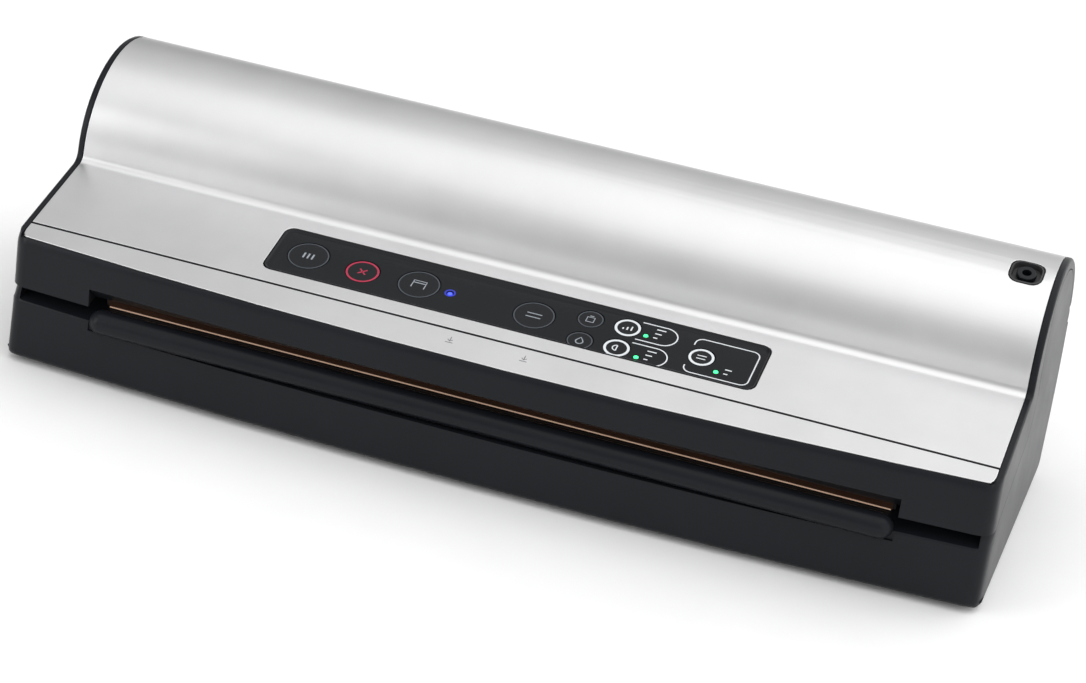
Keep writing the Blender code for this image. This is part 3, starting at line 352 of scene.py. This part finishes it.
def solid(name, points, faces, place, look, body):
    """One closed piece from points in millimetres in a frame, carried by a body."""
    mesh = bpy.data.meshes.new(name)
    mesh.from_pydata([place @ (Vector(p) * MM) for p in points], [], faces)
    work = bmesh.new()
    work.from_mesh(mesh)
    bmesh.ops.recalc_face_normals(work, faces=work.faces)
    work.to_mesh(mesh)
    work.free()
    made = bpy.data.objects.new(name, mesh)
    bpy.context.scene.collection.objects.link(made)
    mesh.materials.append(MATERIALS[look])
    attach(made, body)


def band(path, width, closed, low, high):
    """Points and faces of a flat ribbon of ink along a path of (x, v) points."""
    count = len(path)
    points, faces = [], []
    for i, (x, v) in enumerate(path):
        before = path[i - 1] if closed or i else path[i]
        after = path[(i + 1) % count] if closed or i + 1 < count else path[i]
        along = Vector((after[0] - before[0], after[1] - before[1])).normalized()
        side = Vector((-along.y, along.x)) * (width / 2)
        for sign, w in ((1, low), (1, high), (-1, high), (-1, low)):
            points.append((x + sign * side.x, v + sign * side.y, w))
    pairs = count if closed else count - 1
    for i in range(pairs):
        a, b = 4 * i, 4 * ((i + 1) % count)
        for j in range(4):
            k = (j + 1) % 4
            faces.append((a + j, a + k, b + k, b + j))
    if not closed:
        faces.append((0, 1, 2, 3))
        faces.append(tuple(4 * (count - 1) + j for j in (3, 2, 1, 0)))
    return points, faces


def ink(name, strokes, place, look, body, low, high):
    """One piece of print made of several strokes, each a path with its width and whether it closes."""
    points, faces = [], []
    for path, width, closed in strokes:
        more, sides = band(path, width, closed, low, high)
        faces += [tuple(i + len(points) for i in face) for face in sides]
        points += more
    solid(name, points, faces, place, look, body)


LOOP_STEPS = 64


def arc(x, v, radius, start, end, steps):
    angles = [math.radians(start + (end - start) * i / steps) for i in range(steps + 1)]
    return [(x + radius * math.cos(a), v + radius * math.sin(a)) for a in angles]


def loop(x, v, radius):
    return arc(x, v, radius, 0.0, 360.0, LOOP_STEPS)[:-1]


def centre_of(node):
    """A node's centre in panel coordinates, in millimetres."""
    low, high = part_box(node)
    middle = PANEL.inverted() @ ((Vector(low) + Vector(high)) / 2)
    return middle.x / MM, middle.y / MM


INK_LOW = -0.84
INK_HIGH = -0.74
BEZEL_LOW = -0.86

# Each key: its radius, and the look and width of the ring printed on it
RINGS = {
    "key_pulse": (8.2, "faint_ink", 0.5),
    "key_cancel": (6.7, "red_ink", 0.8),
    "key_vacuum_seal": (8.3, "faint_ink", 0.5),
    "key_manual_seal": (8.1, "faint_ink", 0.5),
    "key_canister": (5.1, "faint_ink", 0.5),
    "key_marinate": (5.1, "faint_ink", 0.5),
    "key_vacuum_level": (5.2, "white_ink", 1.0),
    "key_food_type": (5.2, "white_ink", 1.0),
    "key_seal_mode": (5.1, "white_ink", 1.0),
}


THIN = 0.45
MEDIUM = 0.6
THICK = 0.7


def bar(x0, v0, x1, v1, width=THIN):
    return [(x0, v0), (x1, v1)], width, False


# Each key's small generic sign, as strokes round the key's own centre
SIGNS = {
    "key_pulse": [bar(x, -1.6, x, 1.6, THICK) for x in (-1.8, 0.0, 1.8)],
    "key_cancel": [bar(-1.5, -1.5 * way, 1.5, 1.5 * way, MEDIUM) for way in (-1, 1)],
    "key_vacuum_seal": [
        ([(-2.6, -2.2), (-2.6, 2.2), (2.6, 2.2), (2.6, -2.2)], THIN, False),
        bar(-2.6, 0.9, 2.6, 0.9),
    ],
    "key_manual_seal": [bar(-3.0, v, 3.0, v) for v in (-1.1, 1.1)],
    "key_canister": [
        ([(-1.5, -1.6), (-1.5, 1.2), (1.5, 1.2), (1.5, -1.6)], THIN, True),
        bar(-0.8, 2.0, 0.8, 2.0),
    ],
    "key_marinate": [([(0.0, 2.1)] + arc(0.0, -0.5, 1.4, 30.0, -210.0, 20), THIN, True)],
    "key_vacuum_level": [
        bar(-1.6 + i * 1.6, -1.3, -1.6 + i * 1.6, -0.3 + i * 0.8, MEDIUM) for i in range(3)
    ],
    "key_food_type": [
        (arc(0.0, 0.0, 1.6, 90.0, 270.0, 16), THIN, False),
        bar(0.0, -1.6, 0.0, 1.6),
    ],
    "key_seal_mode": [bar(-1.8, v, 1.8, v) for v in (-0.9, 0.9)],
}

RING_INSET = 0.15


def print_keys():
    for key, (radius, look, width) in RINGS.items():
        x, v = centre_of(key)
        rim = [(loop(x, v, radius - RING_INSET - width / 2), width, True)]
        ink(f"{key}_ring", rim, PANEL, look, key, INK_LOW, INK_HIGH)
        sign = []
        for path, stroke, closed in SIGNS[key]:
            sign.append(([(x + dx, v + dv) for dx, dv in path], stroke, closed))
        sign_look = "soft_ink" if look == "faint_ink" else look
        ink(f"{key}_sign", sign, PANEL, sign_look, key, INK_LOW, INK_HIGH)


OUTLINE = 0.5
PILL_HALF = 5.4
PILL_TUCK = 0.6
PILL_LENGTHS = {"key_vacuum_level": 19.8, "key_food_type": 19.9}


def pill(key, length):
    """Open outline of a pill that starts at a round key and goes right."""
    x, v = centre_of(key)
    start = x + RINGS[key][0] - PILL_TUCK
    turn = arc(x + length - PILL_HALF, v, PILL_HALF, 90.0, -90.0, 24)
    return [(start, v + PILL_HALF)] + turn + [(start, v - PILL_HALF)]


# The frame's reach to each side of its key, its top and bottom on the panel, and its gap at the key
FRAME_LEFT = 4.7
FRAME_RIGHT = 20.6
FRAME_TOP = 40.2
FRAME_BOTTOM = 19.2
FRAME_BEND = 3.0
FRAME_GAP = 6.4


def frame_round(key):
    """Rounded rectangle round the seal mode key, open where the key stands."""
    x, v = centre_of(key)
    left, right = x - FRAME_LEFT, x + FRAME_RIGHT
    low_v, high_v = FRAME_BOTTOM + FRAME_BEND, FRAME_TOP - FRAME_BEND
    points = [(left, v + FRAME_GAP)]
    corners = (
        (left + FRAME_BEND, high_v, 180.0), (right - FRAME_BEND, high_v, 90.0),
        (right - FRAME_BEND, low_v, 0.0), (left + FRAME_BEND, low_v, 270.0),
    )
    for corner_x, corner_v, start in corners:
        points += arc(corner_x, corner_v, FRAME_BEND, start, start - 90.0, 8)
    return points + [(left, v - FRAME_GAP)]


# The short bars beside each lamp, which stand for its settings
SETTINGS = {"lamp_vacuum_level": 3, "lamp_food_type": 3, "lamp_seal_mode": 2}
SETTING_START = 3.0
SETTING_DROP = 0.4
SETTING_PITCH = 2.6
SETTING_LENGTH = 1.6
SETTING_WIDTH = 0.55
HALO_RADIUS = 1.9
HALO_WIDTH = 0.7


def print_panel():
    lines = [(pill(key, length), OUTLINE, False) for key, length in PILL_LENGTHS.items()]
    lines += [(frame_round("key_seal_mode"), OUTLINE, False)]
    for lamp, count in SETTINGS.items():
        x, v = centre_of(lamp)
        for i in range(count):
            start, up = x + SETTING_START, v + SETTING_PITCH * i - SETTING_DROP
            lines.append(bar(start, up, start + SETTING_LENGTH + i, up, SETTING_WIDTH))
    ink("panel_outlines", lines, PANEL, "white_ink", "lid", BEZEL_LOW, INK_HIGH)
    x, v = centre_of("lamp_ready")
    halo = [(loop(x, v, HALO_RADIUS), HALO_WIDTH, True)]
    ink("ready_halo", halo, PANEL, "blue_halo", "lid", BEZEL_LOW, INK_HIGH)


MARK_UP = 2.4
MARK_WIDTH = 0.35
MARK_PLACES = (-17.0, 12.7)
STRIP_INK_LOW = -0.06
STRIP_INK_HIGH = 0.03


def press_mark(x):
    """A downward arrow over a line, to show where the lid is pressed shut."""
    v = MARK_UP
    stem = [(x, v + 1.5), (x, v - 0.9)]
    head = [(x - 1.0, v - 0.1), (x, v - 1.1), (x + 1.0, v - 0.1)]
    foot = [(x - 1.5, v - 1.9), (x + 1.5, v - 1.9)]
    return [(path, MARK_WIDTH, False) for path in (stem, head, foot)]


def print_strip():
    marks = [stroke for x in MARK_PLACES for stroke in press_mark(x)]
    ink("press_marks", marks, PANEL, "dark_ink", "lid", STRIP_INK_LOW, STRIP_INK_HIGH)


# Place and size of the painted highlight on the tape's edge
HIGHLIGHT_HALF = 158.4
HIGHLIGHT_UP = 6.72
HIGHLIGHT_WIDTH = 0.26
HIGHLIGHT_LOW = 0.45
HIGHLIGHT_HIGH = 0.85


def paint_tape_highlight():
    """Painted highlight on the sealing tape's edge, just above the tongue: a thin glowing copper-coloured
    strip standing in for the light it catches.
    """
    edge = [bar(-HIGHLIGHT_HALF, HIGHLIGHT_UP, HIGHLIGHT_HALF, HIGHLIGHT_UP, HIGHLIGHT_WIDTH)]
    ink("tape_highlight", edge, DECK, "painted_glint", "base", HIGHLIGHT_LOW, HIGHLIGHT_HIGH)


make_studio()
dress_nodes()
print_keys()
print_panel()
print_strip()
paint_tape_highlight()
bpy.context.scene.view_settings.view_transform = "Standard"
